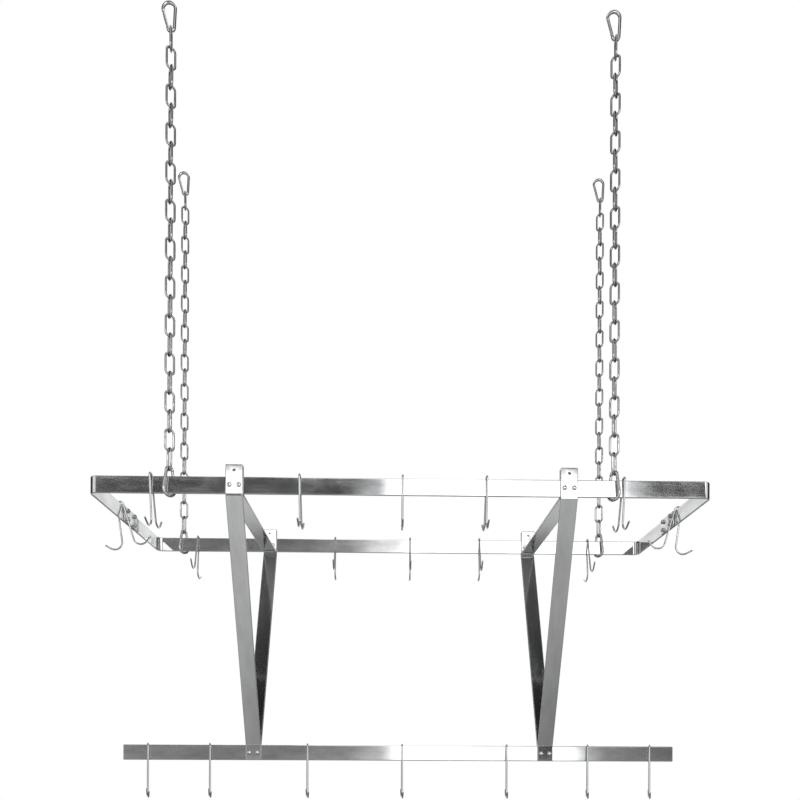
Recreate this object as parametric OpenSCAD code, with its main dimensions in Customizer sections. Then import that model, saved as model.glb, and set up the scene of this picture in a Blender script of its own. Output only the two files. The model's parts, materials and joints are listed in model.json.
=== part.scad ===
// Ceiling hung pot rack: a bent flat bar ring on four chains, two triangular
// braces below it, a low centre rail, and double pot hooks that slide on the bars.
// Millimetres, +Z up, X along the rack. z = 0 is where the four top snap hooks
// bear on their ceiling hooks, and the origin is the centre of those bearing points.

/* [Flat bar] */
// Width of all the flat bar
bar_w = 50.8; // [40:0.1:60]
// Thickness of all the flat bar
bar_t = 6.35; // [5:0.05:8]

/* [Frame] */
// Length of the ring over its end bars
frame_l = 1829; // [1700:1:2200]
// Depth of the ring over its rails
frame_d = 610; // [520:1:800]
// Outer radius of the ring's bent corners
corner_r = 22; // [15:1:40]
// Gap at the seam where the two halves of the ring meet
seam_gap = 0.6; // [0.4:0.1:2]
// Length of the splice plates across the seams
splice_l = 101.6; // [90:0.1:110]

/* [Braces] */
// Distance of each brace from the middle of the rack
brace_x = 490; // [440:1:560]
// Clear height between the ring and the low rail
drop = 732; // [500:1:900]
// Height of the ears above the ring
ear_h = 34; // [24:1:50]
// Bore of the ear holes
ear_bore = 8.5; // [6:0.1:10]
// Height of the ear holes above the ring
ear_hole_z = 17; // [12:0.5:20]
// Straight length of a leg below the ring
leg_start = 3; // [0:0.5:10]
// Inner radius of the brace bends
bend_r = 6; // [3:0.5:10]

/* [Low rail] */
// Length of the low rail
low_l = 1850; // [1750:1:2200]

/* [Fasteners] */
// Diameter of the bolts
bolt_d = 8; // [6:0.1:9]
// Diameter of the domed bolt heads
head_d = 15; // [12:0.1:18]
// Height of the domed bolt heads
head_h = 4.2; // [3:0.1:6]
// Width of the nuts across their flats
nut_af = 13; // [12:0.1:15]
// Height of the nuts
nut_h = 6.5; // [5:0.1:8]
// Distance between the two bolts of a pair
bolt_gap = 28; // [22:0.5:32]
// Distance between the bolt columns of a splice plate
splice_gap = 60; // [40:1:70]
// Radial clearance of a bolt in its hole
bolt_clear = 0.1; // [0.05:0.05:0.5]

/* [Chains] */
// Thickness of the chain wire
link_d = 6.5; // [5:0.1:6.7]
// Length inside a link
link_in = 56.05; // [45:0.05:70]
// Width outside a link
link_w = 31; // [30:0.1:40]
// Links in each chain
links = 23; // [5:1:30]
// Turn of the top link from the plane of the rail
first_turn = 101; // [95:0.5:110]
// Turn of the second link, and of every second one from it
link_turn = 34.5; // [30:0.5:45]
// Turn of the lowest link
last_turn = 129; // [122:0.5:135]
// Gap where one wire bears on another
bear_gap = 0.3; // [0.2:0.05:0.5]
// Place of the left front chain along the front rail
chain_lf = -680; // [-860:1:-560]
// Place of the right front chain along the front rail
chain_rf = 624; // [560:1:860]
// Place of the left back chain along the back rail
chain_lb = -815; // [-880:1:-560]
// Place of the right back chain along the back rail
chain_rb = 762; // [560:1:880]

/* [Snap hooks] */
// Length of a snap hook
snap_l = 92; // [88:1:110]
// Width of a snap hook at its wide end
snap_w = 45; // [44:0.5:56]
// Width of a snap hook at its narrow end
snap_n = 28; // [25:0.5:30]
// Thickness of the snap hook wire
snap_d = 9; // [8:0.1:9]
// Thickness of the gate rod
gate_d = 8; // [7:0.1:8.4]
// Thickness of the tongues that the gate straddles
tongue_t = 3.6; // [3:0.1:4]
// Diameter of the gate pin
pin_d = 3; // [2.5:0.1:3.5]
// Lean of the top snap hooks from plumb
top_lean = 6; // [0:0.5:8]
// Turn of the lower snap hooks from the plane of the rail
snap_turn = 48; // [46:0.5:60]

/* [Pot hooks] */
// Thickness of the pot hook wire
hook_d = 5.5; // [4:0.1:6.5]
// Height of a ring hook from the top of its clip to the foot of its hooks
hook_h = 155; // [130:1:200]
// Height of a hook on the low rail, measured in the same way
low_hook_h = 181; // [130:1:220]
// Width inside the clip that goes over the bar
clip_w = 14; // [12:0.5:18]
// Spread of each leg from the middle line
splay = 4.5; // [2:0.5:8]
// Radius of the hook bends to the middle of the wire
crook_r = 24; // [18:0.5:30]
// Rise of the straight hook tips
tip_rise = 40; // [20:1:60]
// Length of the straight hook tips
tip_l = 20; // [8:1:30]
// Gap between a clip and the bar that it bears on
clip_gap = 0.3; // [0.2:0.05:0.6]
// Place of the first hook along the front rail
front_hook_1 = -733; // [-860:1:-720]
// Place of the second hook along the front rail
front_hook_2 = -300; // [-440:1:-180]
// Place of the third hook along the front rail
front_hook_3 = 1; // [-120:1:100]
// Place of the fourth hook along the front rail
front_hook_4 = 248; // [150:1:440]
// Place of the fifth hook along the front rail
front_hook_5 = 652; // [650:1:860]
// Place of the first hook along the back rail
back_hook_1 = -762; // [-780:1:-560]
// Place of the second hook along the back rail
back_hook_2 = -243; // [-440:1:-130]
// Place of the third hook along the back rail
back_hook_3 = 41; // [-70:1:150]
// Place of the fourth hook along the back rail
back_hook_4 = 305; // [200:1:440]
// Place of the fifth hook along the back rail
back_hook_5 = 719; // [560:1:730]
// Place of the first hook along the low rail
low_hook_1 = -843; // [-890:1:-770]
// Place of the second hook along the low rail
low_hook_2 = -636; // [-720:1:-550]
// Place of the third hook along the low rail
low_hook_3 = -310; // [-440:1:-180]
// Place of the fourth hook along the low rail
low_hook_4 = 8; // [-120:1:160]
// Place of the fifth hook along the low rail
low_hook_5 = 361; // [210:1:440]
// Place of the sixth hook along the low rail
low_hook_6 = 635; // [550:1:720]
// Place of the seventh hook along the low rail
low_hook_7 = 846; // [760:1:890]
// Place of the two end hooks in front of the splices
end_hook_y = -62; // [-120:1:-58]
// Distance in front of the low rail of the point to which its hooks are turned
aim_y = 2340; // [2200:10:6000]
// Place of that point along the rack
aim_x = 70; // [-120:1:120]

/* [Hidden] */
$fn = 48;

steel = "silver";
zinc = "gainsboro";
bright = "whitesmoke";

// Snap hook: centre line radii, distance of the two arcs' centres, lean of the legs
wide_r = (snap_w - snap_d) / 2;
narrow_r = (snap_n - snap_d) / 2;
snap_run = snap_l - (snap_w + snap_n) / 2;
lean = asin((wide_r - narrow_r) / snap_run);
leg_l = snap_run * cos(lean);
// Along the gate's leg, measured up from the narrow arc
shoulder = 3;
pivot_at = 9;
tongue_l = 7;
latch_at = leg_l - shoulder - 3.2;
gate_top = leg_l - shoulder - 0.6;
slot_w = tongue_t + 0.4;
pin_bore = pin_d + 0.1;
latch_d = 2.2;

// Chain: centre line radius of a link's ends, the height between them, the pitch
link_r = (link_w - link_d) / 2;
link_c = link_in - 2 * (link_r - link_d / 2);
pitch = link_in - bear_gap;

// Heights of the arc centres of the top snap hooks, of the links' top wires and
// of the arc centres of the lower snap hooks
snap_top_z = -(wide_r - snap_d / 2);
snap_eye_z = snap_top_z - snap_run * cos(top_lean);
first_wire_z = snap_eye_z - narrow_r + snap_d / 2 + link_d / 2 + bear_gap;
last_wire_z = first_wire_z - (links - 1) * pitch - link_c - 2 * link_r;
snap_low_z = last_wire_z + link_d / 2 + snap_d / 2 + bear_gap - narrow_r - snap_run;

// The ring's lower edge rests across the wide arc, which crosses it at
// snap_turn: the highest wire under the edge sets the height of the ring.
function wire_top(s) =
    let (over = min(snap_d / 2, max(0, s * sin(snap_turn) - bar_t / 2)))
    sqrt(pow(snap_d / 2, 2) - over * over) - sqrt(wide_r * wide_r - s * s);
rest_z = snap_low_z + max([for (s = [0:0.25:12]) wire_top(s)]) + bear_gap;
ring_low_z = round(rest_z * 10) / 10;
ring_z = ring_low_z + bar_w;
low_z = ring_low_z - drop;
rail_y = (frame_d - bar_t) / 2;
end_x = (frame_l - bar_t) / 2;

// Bolted places
hole_d = bolt_d + 2 * bolt_clear;
bolt_z = ring_z - bar_w / 2;
foot_z = low_z - bar_w / 2;
foot_gap = 0.05;

// A leg's slope leaves the plumb tab and meets the plumb foot in two equal
// bends: the turn and the length of the slope that join them
leg_run = (frame_d - bar_t) / 2 - foot_gap;
leg_fall = drop - leg_start;
bends = bar_t + 2 * bend_r;
leg_turn = asin(bends / norm([leg_fall, bends - leg_run])) - atan2(bends - leg_run, leg_fall);
slope_l = (leg_run - bends * (1 - cos(leg_turn))) / sin(leg_turn);

// Pot hook: centre line radius of the clip, length of the legs, lean on the bar
clip_r = (clip_w + hook_d) / 2;
function stem_l(h) = (h - hook_d - clip_r - crook_r + (clip_r + crook_r) * sin(splay)) / cos(splay);
hook_lean = splay + atan((clip_w - bar_t - 2 * clip_gap) / bar_w);

// Height of the low rail's top over the centre of a clip that is turned on it: the
// lowest place where the wire at the angle t of the clip is over the bar
function wire_foot(t, turn) =
    let (over = max(0, clip_r * cos(t) * cos(turn) - bar_t / 2))
    clip_r * sin(t) - sqrt(max(0, hook_d * hook_d / 4 - over * over));
function clip_seat(turn) = min([for (t = [45:1:90]) wire_foot(t, turn)]) - clip_gap;

// Part of a bend round the origin, from its start at -X when side is 1 and at +X
// when it is -1, up through the angle sweep. The child is its section.
module bend(side, sweep) {
    mirror([side > 0 ? 1 : 0, 0, 0]) rotate([90, 0, 0]) rotate_extrude(angle = sweep) children();
}

// Bent round wire of diameter d, from the origin along +Z. A step is a straight
// [length] or a bend [radius, turn], to +X when the turn is positive. A bend is
// drawn a hundredth inside the straights and reaches a little way into them, so
// that they join as one solid. The child goes to the wire's end.
module wire(d, steps, i = 0) {
    if (i == len(steps)) {
        children();
    } else if (len(steps[i]) == 1) {
        cylinder(h = steps[i][0], d = d);
        translate([0, 0, steps[i][0]]) wire(d, steps, i + 1) children();
    } else {
        r = steps[i][0];
        turn = steps[i][1];
        side = turn > 0 ? 1 : -1;
        lap = 0.3 / r * 180 / PI;
        before = i > 0 ? lap : 0;
        translate([side * r, 0, 0]) {
            mirror([side > 0 ? 1 : 0, 0, 0]) rotate([90, 0, 0]) rotate([0, 0, -before])
                rotate_extrude(angle = abs(turn) + before + lap)
                translate([r, 0]) circle(d = d - 0.02);
            rotate([0, turn, 0]) translate([-side * r, 0, 0]) wire(d, steps, i + 1) children();
        }
    }
}

// Bent flat bar from the origin along +Z, bar_t thick from x = 0 and w wide. The
// steps are those of wire, with the inner radius of each bend.
module flat(w, steps, i = 0) {
    if (i < len(steps)) {
        r = steps[i][0];
        if (len(steps[i]) == 1) {
            translate([0, -w / 2, 0]) cube([bar_t, w, r]);
            translate([0, 0, r]) flat(w, steps, i + 1);
        } else {
            turn = steps[i][1];
            side = turn > 0 ? 1 : -1;
            mid = turn > 0 ? r + bar_t : r;
            translate([side * mid, 0, 0]) {
                bend(side, abs(turn) / 2 + 1) translate([r, -w / 2]) square([bar_t, w]);
                rotate([0, turn, 0]) {
                    mirror([0, 0, 1]) bend(side, abs(turn) / 2 + 1) translate([r, -w / 2]) square([bar_t, w]);
                    translate([-side * mid, 0, 0]) flat(w, steps, i + 1);
                }
            }
        }
    }
}

// A bolt hole along Y
module hole(x, y, z, d, l) {
    translate([x, y, z]) rotate([90, 0, 0]) cylinder(h = l, d = d, center = true);
}

// The four holes of a splice, along X
module splice_holes(x) {
    for (y = [-1, 1], b = [-1, 1])
        translate([x, y * splice_gap / 2, bolt_z + b * bolt_gap / 2])
            rotate([0, 90, 0]) cylinder(h = 4 * bar_t, d = hole_d, center = true);
}

// Half of the ring, drawn as the front half: half an end bar, a bent corner, the
// rail, a corner and half an end bar
module ring_half() {
    end_l = frame_d / 2 - corner_r - seam_gap / 2;
    corner = [corner_r - bar_t, 90];
    difference() {
        translate([-frame_l / 2, -seam_gap / 2, bolt_z]) rotate([90, 0, 0])
            flat(bar_w, [[end_l], corner, [frame_l - 2 * corner_r], corner, [end_l]]);
        for (x = [-brace_x, brace_x], b = [-1, 1])
            hole(x + b * bolt_gap / 2, -rail_y, bolt_z, hole_d, 2 * bar_t);
        for (x = [-end_x, end_x]) splice_holes(x);
    }
}

module frame_front_half() {
    color(steel) ring_half();
}

module frame_back_half() {
    color(steel) mirror([0, 1, 0]) ring_half();
}

// A splice plate inside each end bar, across the seam
module splice_plates() {
    for (side = [-1, 1]) color(steel) difference() {
        translate([side * (end_x - bar_t), 0, bolt_z]) cube([bar_t, splice_l, bar_w], center = true);
        splice_holes(side * (end_x - bar_t));
    }
}

// A leg, drawn as a front leg: from its ear, down outside the rail, in by two
// bends, and down outside the low rail
module leg(x) {
    tab = [ear_h + bar_w + leg_start];
    color(steel) difference() {
        translate([x, -rail_y - 1.5 * bar_t, ring_z + ear_h]) rotate([180, 0, 90])
            flat(bar_w, [tab, [bend_r, leg_turn], [slope_l], [bend_r, -leg_turn], [bar_w]]);
        for (b = [-1, 1]) {
            hole(x + b * bolt_gap / 2, -rail_y - bar_t, bolt_z, hole_d, 2 * bar_t);
            hole(x + b * bolt_gap / 2, -bar_t, foot_z, hole_d, 2 * bar_t);
        }
        hole(x, -rail_y - bar_t, ring_z + ear_hole_z, ear_bore, 2 * bar_t);
    }
}

module leg_front_left() {
    leg(-brace_x);
}

module leg_front_right() {
    leg(brace_x);
}

module leg_back_left() {
    mirror([0, 1, 0]) leg(-brace_x);
}

module leg_back_right() {
    mirror([0, 1, 0]) leg(brace_x);
}

// A cross bar between the rails, level with their lower edges and turned up
// inside each of them
module cross_bar(x) {
    tab = [ear_h + bar_w - bar_t - bend_r];
    span = [2 * rail_y - 3 * bar_t - 2 * bend_r];
    color(steel) difference() {
        translate([x, -rail_y + bar_t / 2, ring_z + ear_h]) rotate([180, 0, 90])
            flat(bar_w, [tab, [bend_r, 90], span, [bend_r, 90], tab]);
        for (y = [-rail_y + bar_t, rail_y - bar_t]) {
            for (b = [-1, 1]) hole(x + b * bolt_gap / 2, y, bolt_z, hole_d, 2 * bar_t);
            hole(x, y, ring_z + ear_hole_z, ear_bore, 2 * bar_t);
        }
    }
}

module cross_bar_left() {
    cross_bar(-brace_x);
}

module cross_bar_right() {
    cross_bar(brace_x);
}

module bottom_rail() {
    color(steel) difference() {
        translate([0, 0, foot_z]) cube([low_l, bar_t, bar_w], center = true);
        for (x = [-brace_x, brace_x], b = [-1, 1])
            hole(x + b * bolt_gap / 2, 0, foot_z, hole_d, 2 * bar_t);
    }
}

// A domed bolt: the flat of its head is at z = 0 and its shank runs down
// through the grip and the nut
module bolt(grip) {
    dome = (head_d * head_d / 4 + head_h * head_h) / (2 * head_h);
    rotate_extrude() {
        intersection() {
            translate([0, head_h - dome]) circle(r = dome);
            square([head_d, head_h]);
        }
        translate([0, -grip - nut_h - 1.5]) square([bolt_d / 2, grip + nut_h + 1.5]);
    }
}

module nut() {
    difference() {
        cylinder(h = nut_h, d = nut_af / cos(30), $fn = 6);
        translate([0, 0, -1]) cylinder(h = nut_h + 2, d = hole_d);
    }
}

// Every bolted place: first the outer faces, for the heads, or the inner faces,
// for the nuts. The child with the number of the place's kind goes there.
module at_bolts(inner) {
    turn = inner ? 180 : 0;
    for (x = [-brace_x, brace_x], b = [-1, 1]) {
        for (side = [-1, 1])
            translate([x + b * bolt_gap / 2, side * (rail_y + (inner ? -1.5 : 1.5) * bar_t), bolt_z])
                rotate([turn - side * 90, 0, 0]) children(0);
        translate([x + b * bolt_gap / 2, (inner ? 1 : -1) * (1.5 * bar_t + foot_gap), foot_z])
            rotate([90 + turn, 0, 0]) children(1);
    }
    for (side = [-1, 1], y = [-1, 1], b = [-1, 1])
        translate([side * (end_x - (inner ? -0.5 : 1.5) * bar_t), y * splice_gap / 2,
            bolt_z + b * bolt_gap / 2])
            rotate([0, turn - side * 90, 0]) children(2);
}

module bolts() {
    color(bright) at_bolts(false) {
        bolt(3 * bar_t);
        bolt(3 * bar_t + 2 * foot_gap);
        bolt(2 * bar_t);
    }
}

module nuts() {
    color(zinc) at_bolts(true) {
        nut();
        nut();
        nut();
    }
}

// Along the gate's leg of a snap hook, the given distance up from its narrow arc
module on_leg(up) {
    translate([0, 0, -snap_run]) rotate([0, lean, 0]) translate([narrow_r, 0, up]) children();
}

// A snap hook in the XZ plane, its wide arc round the origin and its narrow arc
// below. Two lengths of wire start from the foot of the narrow arc: a short one
// to the gate's pivot at +X, and a long one round the loop to the gate's latch.
module snap_body() {
    foot = [narrow_r, lean - 90];
    color(zinc) translate([0, 0, -snap_run - narrow_r]) {
        rotate([0, 90, 0]) wire(snap_d, [foot, [shoulder]]) pivot_tongue();
        mirror([1, 0, 0]) rotate([0, 90, 0])
            wire(snap_d, [foot, [leg_l], [wide_r, -180 - 2 * lean], [shoulder]]) latch_tongue();
    }
    color(bright) on_leg(pivot_at) rotate([90, 0, 0]) cylinder(h = gate_d - 0.6, d = pin_d, center = true);
}

module pivot_tongue() {
    eye = pivot_at - shoulder;
    difference() {
        union() {
            translate([-3, -tongue_t / 2, 0]) cube([6, tongue_t, eye]);
            translate([0, 0, eye]) rotate([90, 0, 0]) cylinder(h = tongue_t, d = 7, center = true);
        }
        translate([0, 0, eye]) rotate([90, 0, 0]) cylinder(h = 2 * tongue_t, d = pin_bore, center = true);
    }
}

// The notch is open to the inside of the loop, so the gate can't swing out
module latch_tongue() {
    notch = latch_d + 0.4;
    difference() {
        translate([-3.4, -tongue_t / 2, 0]) cube([6.8, tongue_t, tongue_l]);
        translate([-5, -tongue_t, leg_l - shoulder - latch_at - notch / 2])
            cube([6.2, 2 * tongue_t, notch]);
    }
}

// The gate: a rod forked round both tongues, with a cross pin in the latch
module snap_gate() {
    color(bright) on_leg(0) {
        difference() {
            translate([0, 0, pivot_at - gate_d / 2])
                cylinder(h = gate_top - pivot_at + gate_d / 2, d = gate_d);
            translate([-gate_d, -slot_w / 2, 0]) cube([2 * gate_d, slot_w, pivot_at + 4.2]);
            translate([-gate_d, -slot_w / 2, leg_l - shoulder - tongue_l - 0.6])
                cube([2 * gate_d, slot_w, tongue_l + shoulder]);
            translate([0, 0, pivot_at]) rotate([90, 0, 0])
                cylinder(h = 2 * gate_d, d = pin_bore, center = true);
        }
        translate([0, 0, latch_at]) rotate([90, 0, 0]) cylinder(h = slot_w + 2, d = latch_d, center = true);
    }
}

// The top snap hooks lie in the plane of the rails with their gates to the left.
// The lower ones, upside down, cross the rails at snap_turn.
module at_top_snap(x, y) {
    translate([x, y, snap_eye_z]) mirror([1, 0, 0]) rotate([0, top_lean, 0])
        translate([0, 0, snap_run]) children();
}

module at_low_snap(x, y, flip) {
    translate([x, y, snap_low_z]) mirror([flip, 0, 0]) rotate([0, 0, snap_turn])
        mirror([0, 0, 1]) children();
}

module snap_top_lf() {
    at_top_snap(chain_lf, -rail_y) snap_body();
}

module snap_low_lf() {
    at_low_snap(chain_lf, -rail_y, 0) snap_body();
}

module gate_top_lf() {
    at_top_snap(chain_lf, -rail_y) snap_gate();
}

module gate_low_lf() {
    at_low_snap(chain_lf, -rail_y, 0) snap_gate();
}

module snap_top_rf() {
    at_top_snap(chain_rf, -rail_y) snap_body();
}

module snap_low_rf() {
    at_low_snap(chain_rf, -rail_y, 1) snap_body();
}

module gate_top_rf() {
    at_top_snap(chain_rf, -rail_y) snap_gate();
}

module gate_low_rf() {
    at_low_snap(chain_rf, -rail_y, 1) snap_gate();
}

module snap_top_lb() {
    at_top_snap(chain_lb, rail_y) snap_body();
}

module snap_low_lb() {
    at_low_snap(chain_lb, rail_y, 0) snap_body();
}

module gate_top_lb() {
    at_top_snap(chain_lb, rail_y) snap_gate();
}

module gate_low_lb() {
    at_low_snap(chain_lb, rail_y, 0) snap_gate();
}

module snap_top_rb() {
    at_top_snap(chain_rb, rail_y) snap_body();
}

module snap_low_rb() {
    at_low_snap(chain_rb, rail_y, 1) snap_body();
}

module gate_top_rb() {
    at_top_snap(chain_rb, rail_y) snap_gate();
}

module gate_low_rb() {
    at_low_snap(chain_rb, rail_y, 1) snap_gate();
}

// One welded link in the XZ plane, hanging from the middle of its top wire
module link() {
    translate([0, 0, -link_r]) rotate([90, 0, 0])
        rotate_extrude(angle = 180) translate([link_r, 0]) circle(d = link_d);
    translate([0, 0, -link_r - link_c]) rotate([-90, 0, 0])
        rotate_extrude(angle = 180) translate([link_r, 0]) circle(d = link_d);
    for (x = [-link_r, link_r])
        translate([x, 0, -link_r - link_c]) cylinder(h = link_c, d = link_d);
}

// Turn of link i about its chain: the first stands nearly across the top snap hook,
// the last nearly across the lower one, and those between lie crosswise in turn
function turn_of(i) =
    i == 0 ? first_turn : i == links - 1 ? last_turn : link_turn + (i % 2 == 1 ? 0 : 90);

module links_of(x, y, flip, from, to) {
    color(zinc) translate([x, y, 0]) mirror([flip, 0, 0]) for (i = [from:to])
        translate([0, 0, first_wire_z - i * pitch]) rotate([0, 0, turn_of(i)]) link();
}

module link_top_lf() {
    links_of(chain_lf, -rail_y, 0, 0, 0);
}

module chain_lf_run() {
    links_of(chain_lf, -rail_y, 0, 1, links - 2);
}

module link_low_lf() {
    links_of(chain_lf, -rail_y, 0, links - 1, links - 1);
}

module link_top_rf() {
    links_of(chain_rf, -rail_y, 1, 0, 0);
}

module chain_rf_run() {
    links_of(chain_rf, -rail_y, 1, 1, links - 2);
}

module link_low_rf() {
    links_of(chain_rf, -rail_y, 1, links - 1, links - 1);
}

module link_top_lb() {
    links_of(chain_lb, rail_y, 0, 0, 0);
}

module chain_lb_run() {
    links_of(chain_lb, rail_y, 0, 1, links - 2);
}

module link_low_lb() {
    links_of(chain_lb, rail_y, 0, links - 1, links - 1);
}

module link_top_rb() {
    links_of(chain_rb, rail_y, 1, 0, 0);
}

module chain_rb_run() {
    links_of(chain_rb, rail_y, 1, 1, links - 2);
}

module link_low_rb() {
    links_of(chain_rb, rail_y, 1, links - 1, links - 1);
}

// A double pot hook of height h in the XZ plane, from one length of wire. The origin
// is the centre of the clip's bend, and each half runs from the top of the clip.
module pot_hook(h) {
    clip = [clip_r, 90 - splay];
    crook = [crook_r, splay - 90 - tip_rise];
    color(bright) for (s = [0, 1]) mirror([s, 0, 0]) translate([0, 0, clip_r])
        rotate([0, 90, 0]) wire(hook_d, [clip, [stem_l(h)], crook, [tip_l]]) sphere(d = hook_d);
}

// On a bar of the ring, whose top edge is at ring_z: turn brings the hook's +X to
// the inside of the ring. The hook leans in until its clip bears on the top inner
// edge of the bar and its outer leg on the lower outer edge.
module hook_on(x, y, turn) {
    translate([x, y, ring_z]) rotate([0, 0, turn])
        translate([bar_t / 2 + clip_gap - clip_w / 2 * cos(hook_lean), 0, -clip_w / 2 * sin(hook_lean)])
            rotate([0, -hook_lean, 0]) pot_hook(hook_h);
}

// On the low rail, upright over its middle and turned towards the aim
module hook_low(x) {
    turn = atan((x - aim_x) / aim_y);
    translate([x, 0, low_z - clip_seat(turn)]) rotate([0, 0, 90 - turn]) pot_hook(low_hook_h);
}

module hook_front_1() {
    hook_on(front_hook_1, -rail_y, 90);
}

module hook_front_2() {
    hook_on(front_hook_2, -rail_y, 90);
}

module hook_front_3() {
    hook_on(front_hook_3, -rail_y, 90);
}

module hook_front_4() {
    hook_on(front_hook_4, -rail_y, 90);
}

module hook_front_5() {
    hook_on(front_hook_5, -rail_y, 90);
}

module hook_back_1() {
    hook_on(back_hook_1, rail_y, -90);
}

module hook_back_2() {
    hook_on(back_hook_2, rail_y, -90);
}

module hook_back_3() {
    hook_on(back_hook_3, rail_y, -90);
}

module hook_back_4() {
    hook_on(back_hook_4, rail_y, -90);
}

module hook_back_5() {
    hook_on(back_hook_5, rail_y, -90);
}

module hook_low_1() {
    hook_low(low_hook_1);
}

module hook_low_2() {
    hook_low(low_hook_2);
}

module hook_low_3() {
    hook_low(low_hook_3);
}

module hook_low_4() {
    hook_low(low_hook_4);
}

module hook_low_5() {
    hook_low(low_hook_5);
}

module hook_low_6() {
    hook_low(low_hook_6);
}

module hook_low_7() {
    hook_low(low_hook_7);
}

module hook_end_left() {
    hook_on(-end_x, end_hook_y, 0);
}

module hook_end_right() {
    hook_on(end_x, end_hook_y, 180);
}

frame_front_half();
frame_back_half();
splice_plates();
leg_front_left();
leg_front_right();
leg_back_left();
leg_back_right();
cross_bar_left();
cross_bar_right();
bottom_rail();
bolts();
nuts();
snap_top_lf();
snap_top_rf();
snap_top_lb();
snap_top_rb();
snap_low_lf();
snap_low_rf();
snap_low_lb();
snap_low_rb();
gate_top_lf();
gate_top_rf();
gate_top_lb();
gate_top_rb();
gate_low_lf();
gate_low_rf();
gate_low_lb();
gate_low_rb();
link_top_lf();
chain_lf_run();
link_low_lf();
link_top_rf();
chain_rf_run();
link_low_rf();
link_top_lb();
chain_lb_run();
link_low_lb();
link_top_rb();
chain_rb_run();
link_low_rb();
hook_front_1();
hook_front_2();
hook_front_3();
hook_front_4();
hook_front_5();
hook_back_1();
hook_back_2();
hook_back_3();
hook_back_4();
hook_back_5();
hook_low_1();
hook_low_2();
hook_low_3();
hook_low_4();
hook_low_5();
hook_low_6();
hook_low_7();
hook_end_left();
hook_end_right();
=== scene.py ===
import json
import math
import bpy
import numpy as np
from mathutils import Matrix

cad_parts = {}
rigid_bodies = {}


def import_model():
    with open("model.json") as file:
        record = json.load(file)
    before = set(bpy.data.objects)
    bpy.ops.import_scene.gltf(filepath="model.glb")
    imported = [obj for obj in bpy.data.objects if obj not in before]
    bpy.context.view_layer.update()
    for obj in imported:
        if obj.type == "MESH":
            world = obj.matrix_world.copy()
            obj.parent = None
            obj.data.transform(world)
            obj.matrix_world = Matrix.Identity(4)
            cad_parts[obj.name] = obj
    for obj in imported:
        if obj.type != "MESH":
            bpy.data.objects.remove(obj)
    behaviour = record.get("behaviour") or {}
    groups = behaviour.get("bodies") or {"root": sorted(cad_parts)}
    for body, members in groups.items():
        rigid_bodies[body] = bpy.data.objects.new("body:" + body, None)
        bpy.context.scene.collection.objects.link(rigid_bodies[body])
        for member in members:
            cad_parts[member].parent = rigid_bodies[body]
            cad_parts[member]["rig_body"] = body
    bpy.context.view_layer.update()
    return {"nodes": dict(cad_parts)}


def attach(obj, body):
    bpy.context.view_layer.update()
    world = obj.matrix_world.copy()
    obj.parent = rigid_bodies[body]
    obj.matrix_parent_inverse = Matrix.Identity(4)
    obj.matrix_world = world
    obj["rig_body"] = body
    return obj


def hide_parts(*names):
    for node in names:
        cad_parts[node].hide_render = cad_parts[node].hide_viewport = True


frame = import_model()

mm = 0.001
print("frame loaded:", len(frame["nodes"]), "nodes")


# A new object of the scene, with the given mesh, lamp or camera.
def newObject(name, data):
    made = bpy.data.objects.new(name, data)
    bpy.context.scene.collection.objects.link(made)
    return made


# Camera: level but for a slight roll, raised only by the lens shift, as the photograph was framed
cameraView = {
    "place": (-35.84, -2335.55, -2162.3),   # mm
    "yaw": -0.0158, "roll": 0.004,   # radians; the yaw is towards the right
    "lens": 31.20, "sensor": 36,   # mm
    "shiftUp": 0.4327,
    "reach": 200,   # m
}
cameraData = bpy.data.cameras.new("photoCamera")
cameraData.lens = cameraView["lens"]
cameraData.sensor_width = cameraView["sensor"]
cameraData.shift_y = cameraView["shiftUp"]
cameraData.clip_end = cameraView["reach"]
photoCamera = newObject("photoCamera", cameraData)
photoCamera.location = [v * mm for v in cameraView["place"]]
photoCamera.rotation_euler = (math.pi / 2, -cameraView["roll"], cameraView["yaw"])
bpy.context.scene.camera = photoCamera
bpy.context.scene.view_settings.view_transform = "Standard"
print("camera placed")

# Sizes of the rack in mm: the CAD's, and the rounding that the bars' edges get here
rack = {
    "barWidth": 50.8, "barThick": 6.35, "edgeRound": 2.6,
    "length": 1829.0, "depth": 610.0, "cornerRadius": 22.0, "seamGap": 0.6, "spliceLength": 101.6,
    "braceX": 490.0, "legStart": 3.0, "bendRadius": 6.0, "footGap": 0.05,
    "earHeight": 34.0, "earHoleUp": 17.0, "earHole": 8.5, "holeChamfer": 0.5,
    "ringTop": -1377.6, "drop": 732.0, "lowLength": 1850.0,
    "boltGap": 28.0, "spliceGap": 60.0,
    "bendStep": 3,      # degrees between the sections of a bend
    "grainStep": 2.0,     # mm between the places at which a cut bar's grain is looked up
}
width, thick = rack["barWidth"], rack["barThick"]
railY = (rack["depth"] - thick) / 2
endX = (rack["length"] - thick) / 2
ringLow = rack["ringTop"] - width
lowTop = ringLow - rack["drop"]
boltZ = rack["ringTop"] - width / 2
footZ = lowTop - width / 2
# x and y of each chain in mm, and -1 where its links and low snap hook are turned as in a mirror
chainPlaces = {
    "lf": (-680.0, -railY, 1), "rf": (624.0, -railY, -1),
    "lb": (-815.0, railY, 1), "rb": (762.0, railY, -1),
}


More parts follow.
